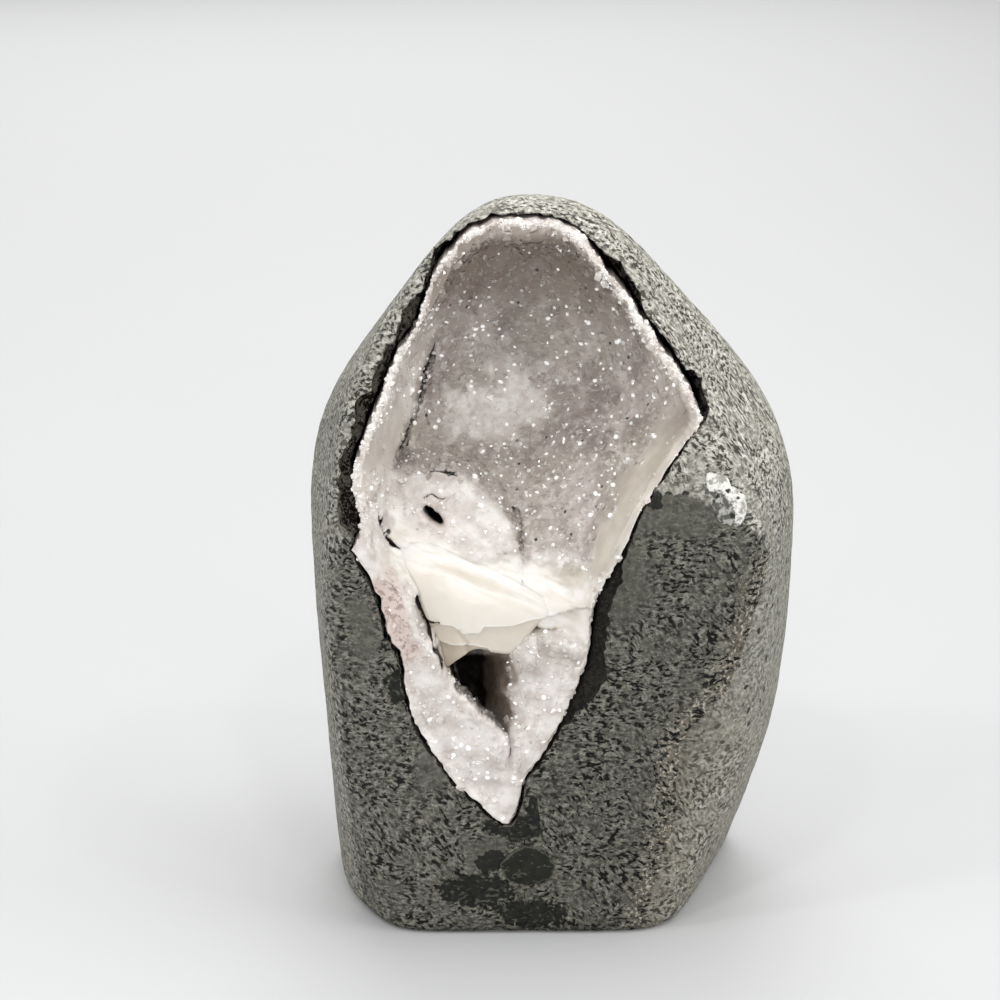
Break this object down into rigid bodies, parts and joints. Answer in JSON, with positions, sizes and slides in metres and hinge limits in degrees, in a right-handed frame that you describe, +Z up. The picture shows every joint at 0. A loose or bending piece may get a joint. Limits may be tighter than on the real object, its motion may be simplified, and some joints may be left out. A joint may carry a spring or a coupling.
{
  "type": "apophyllite geode",
  "caption": "Upright ground basalt nodule with a flat sawn base and an open crystal-lined vug with a lower pocket, to stand as a display specimen.",
  "frame": {"origin": "under the middle of the whole on the sawn base: x and y at the middle of its box, z at its lowest level", "axes": "+Z up along the tall axis of the stone; the open front of the vug faces -Y; +X is to the right of someone who looks into it"},
  "size_m": [0.0736, 0.0542, 0.1103],
  "materials": {
    "basalt": "coarse ground, matt, with fine dark and pale grains",
    "quartz_druse": "white to pale mauve druse, sparkling, semi-matt between the points",
    "apophyllite": "waxy cream crystal faces, slightly translucent",
    "zeolite": "pale granular bubble filling, matt",
    "celadonite": "near black, dull"
  },
  "bodies": {
    "root": {"basalt_matrix": "basalt", "quartz_lining": "quartz_druse", "apophyllite_mass": "apophyllite", "zeolite_amygdule": "zeolite", "celadonite_amygdule": "celadonite"}
  },
  "joints": []
}
